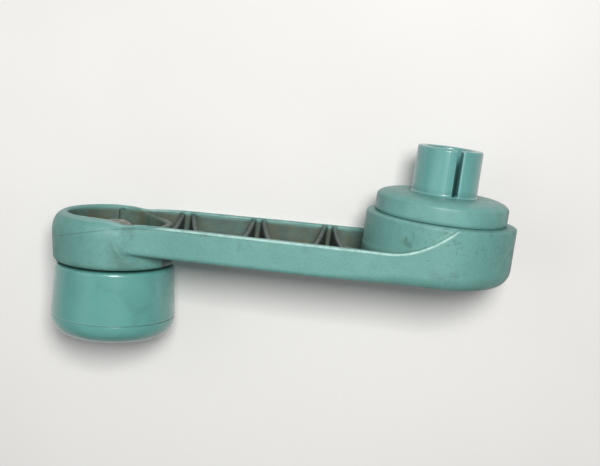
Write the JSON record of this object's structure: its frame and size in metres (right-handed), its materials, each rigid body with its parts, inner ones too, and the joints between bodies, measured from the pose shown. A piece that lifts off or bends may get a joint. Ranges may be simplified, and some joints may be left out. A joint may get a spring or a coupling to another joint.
{
  "type": "window winder crank handle",
  "caption": "Moulded window winder crank: slotted spindle spigot in a turning trim collar, ribbed hollow-backed arm and a free-spinning round knob.",
  "frame": {"origin": "on the spindle axis, in the plane of the bearing collar's face that rests on the door trim", "axes": "+Z along the spindle axis and the spigot, into the door; the arm runs towards -X; the knob hangs towards -Z, into the cabin; +Y completes the right-handed frame"},
  "size_m": [0.1266, 0.0418, 0.0643],
  "materials": {
    "teal_grained_plastic": "fine-grained moulded plastic, greyed with handling grime",
    "teal_smooth_plastic": "smooth moulded plastic, semi-gloss, slightly scuffed",
    "teal_collar_plastic": "moulded plastic with fine turning marks round the rim",
    "teal_knob_plastic": "polished by hand, semi-gloss",
    "zinc_steel": "zinc-plated steel",
    "spring_steel": "oiled spring steel",
    "natural_nylon": "natural nylon"
  },
  "bodies": {
    "collar": {"bearing_collar": "teal_collar_plastic", "collar_wave_washer": "spring_steel"},
    "crank": {"arm_body": "teal_grained_plastic", "spindle_hub": "teal_smooth_plastic", "hub_screws": "zinc_steel", "spindle_sleeve": "zinc_steel", "spindle_clip": "spring_steel", "collar_snap_ring": "spring_steel", "knob_pin": "zinc_steel", "pin_washer": "zinc_steel", "thrust_washer": "natural_nylon", "knob_wave_washer": "spring_steel", "end_washer": "zinc_steel", "knob_retaining_ring": "spring_steel"},
    "knob": {"knob_barrel": "teal_knob_plastic", "knob_bush": "natural_nylon", "knob_cap": "teal_knob_plastic"}
  },
  "joints": [
    {"name": "crank_turn", "type": "hinge", "parent": "collar", "child": "crank", "pos_m": [0, 0, 0], "axis": [0, 0, 1], "continuous": true},
    {"name": "knob_spin", "type": "hinge", "parent": "crank", "child": "knob", "pos_m": [-0.0883, 0, -0.0223], "axis": [-0.0698, 0, 0.9976], "continuous": true}
  ]
}
